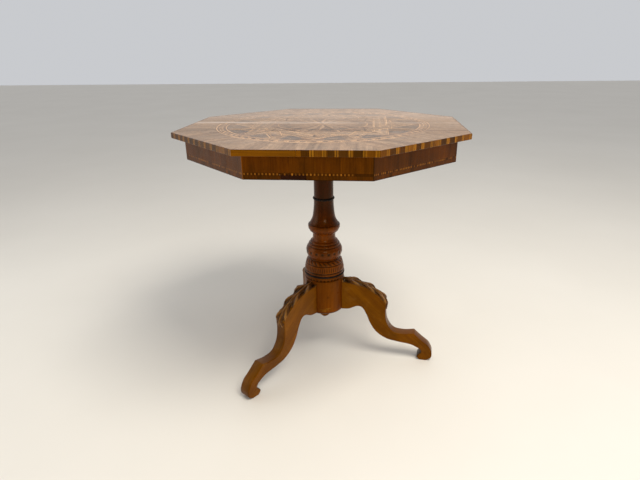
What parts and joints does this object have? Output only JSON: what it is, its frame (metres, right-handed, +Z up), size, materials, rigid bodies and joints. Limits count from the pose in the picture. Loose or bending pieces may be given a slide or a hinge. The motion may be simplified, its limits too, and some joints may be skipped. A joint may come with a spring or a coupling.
{
  "type": "tilt top table",
  "caption": "Octagonal marquetry tilt-top table on a turned column with scrolled tripod legs and a sprung brass catch.",
  "frame": {"origin": "on the floor under the column's axis, which is the centre of the box's underside", "axes": "+Z up; +X along the front edge of the top; -Y is the side that the top faces when it is tilted up"},
  "size_m": [0.744, 0.744, 0.72],
  "materials": {
    "core_pine": "sawn and planed, unfinished",
    "border_walnut": "old worn wax, matt",
    "ring_stringing": "old worn wax, matt",
    "field_marquetry": "old worn wax, matt",
    "star_marquetry": "old worn wax, matt",
    "edge_crossbanding": "satin shellac",
    "edge_plain": "satin shellac",
    "apron_veneer": "satin shellac",
    "apron_pine": "stained, unpolished",
    "beech": "planed, unfinished",
    "column_walnut": "polished shellac",
    "ebonised": "polished black",
    "leg_cherry": "satin shellac, worn",
    "brass": "tarnished",
    "iron": "dull"
  },
  "bodies": {
    "base": {"pivot_block": "beech", "pivot_pins": "iron", "keeper_plate": "brass", "keeper_screws": "brass", "tenon_wedge": "beech", "column": "column_walnut", "upper_ring": "ebonised", "hub_ring": "ebonised", "hub": "leg_cherry", "pendant": "leg_cherry", "leg_front_left": "leg_cherry", "leg_front_right": "leg_cherry", "leg_back": "leg_cherry"},
    "top": {"apron_board_1": "apron_pine", "apron_board_2": "apron_pine", "apron_board_3": "apron_pine", "apron_board_4": "apron_pine", "apron_board_5": "apron_pine", "apron_board_6": "apron_pine", "apron_board_7": "apron_pine", "apron_board_8": "apron_pine", "apron_veneer_1": "apron_veneer", "apron_veneer_2": "apron_veneer", "apron_veneer_3": "apron_veneer", "apron_veneer_4": "apron_veneer", "apron_veneer_5": "apron_veneer", "apron_veneer_6": "apron_veneer", "apron_veneer_7": "apron_veneer", "apron_veneer_8": "apron_veneer", "bearer_left": "beech", "bearer_right": "beech", "bearer_screws": "iron", "border_veneer": "border_walnut", "catch_cover": "brass", "catch_plate": "brass", "catch_screws": "brass", "catch_spring": "brass", "core_board_1": "core_pine", "core_board_2": "core_pine", "core_board_3": "core_pine", "core_board_4": "core_pine", "core_board_5": "core_pine", "corner_blocks": "apron_pine", "edge_band_1": "edge_crossbanding", "edge_band_2": "edge_crossbanding", "edge_band_3": "edge_crossbanding", "edge_band_4": "edge_crossbanding", "edge_band_5": "edge_crossbanding", "edge_band_6": "edge_crossbanding", "edge_band_7": "edge_crossbanding", "edge_band_8": "edge_crossbanding", "edge_repair": "edge_plain", "field_veneer": "field_marquetry", "inlay_ring": "ring_stringing", "star_inlay": "star_marquetry"},
    "catch_slider": {"catch_bolt": "brass", "catch_knob": "brass"}
  },
  "joints": [
    {"name": "top_tilt", "type": "hinge", "parent": "base", "child": "top", "pos_m": [0, -0.095, 0.683], "axis": [1, 0, 0], "range_deg": [0, 90]},
    {"name": "catch_slide", "type": "slide", "parent": "top", "child": "catch_slider", "axis": [0, 1, 0], "range_m": [0, 0.0085], "stiffness_N_per_m": 250, "springref_m": -0.006, "deforming": ["catch_spring"]}
  ]
}
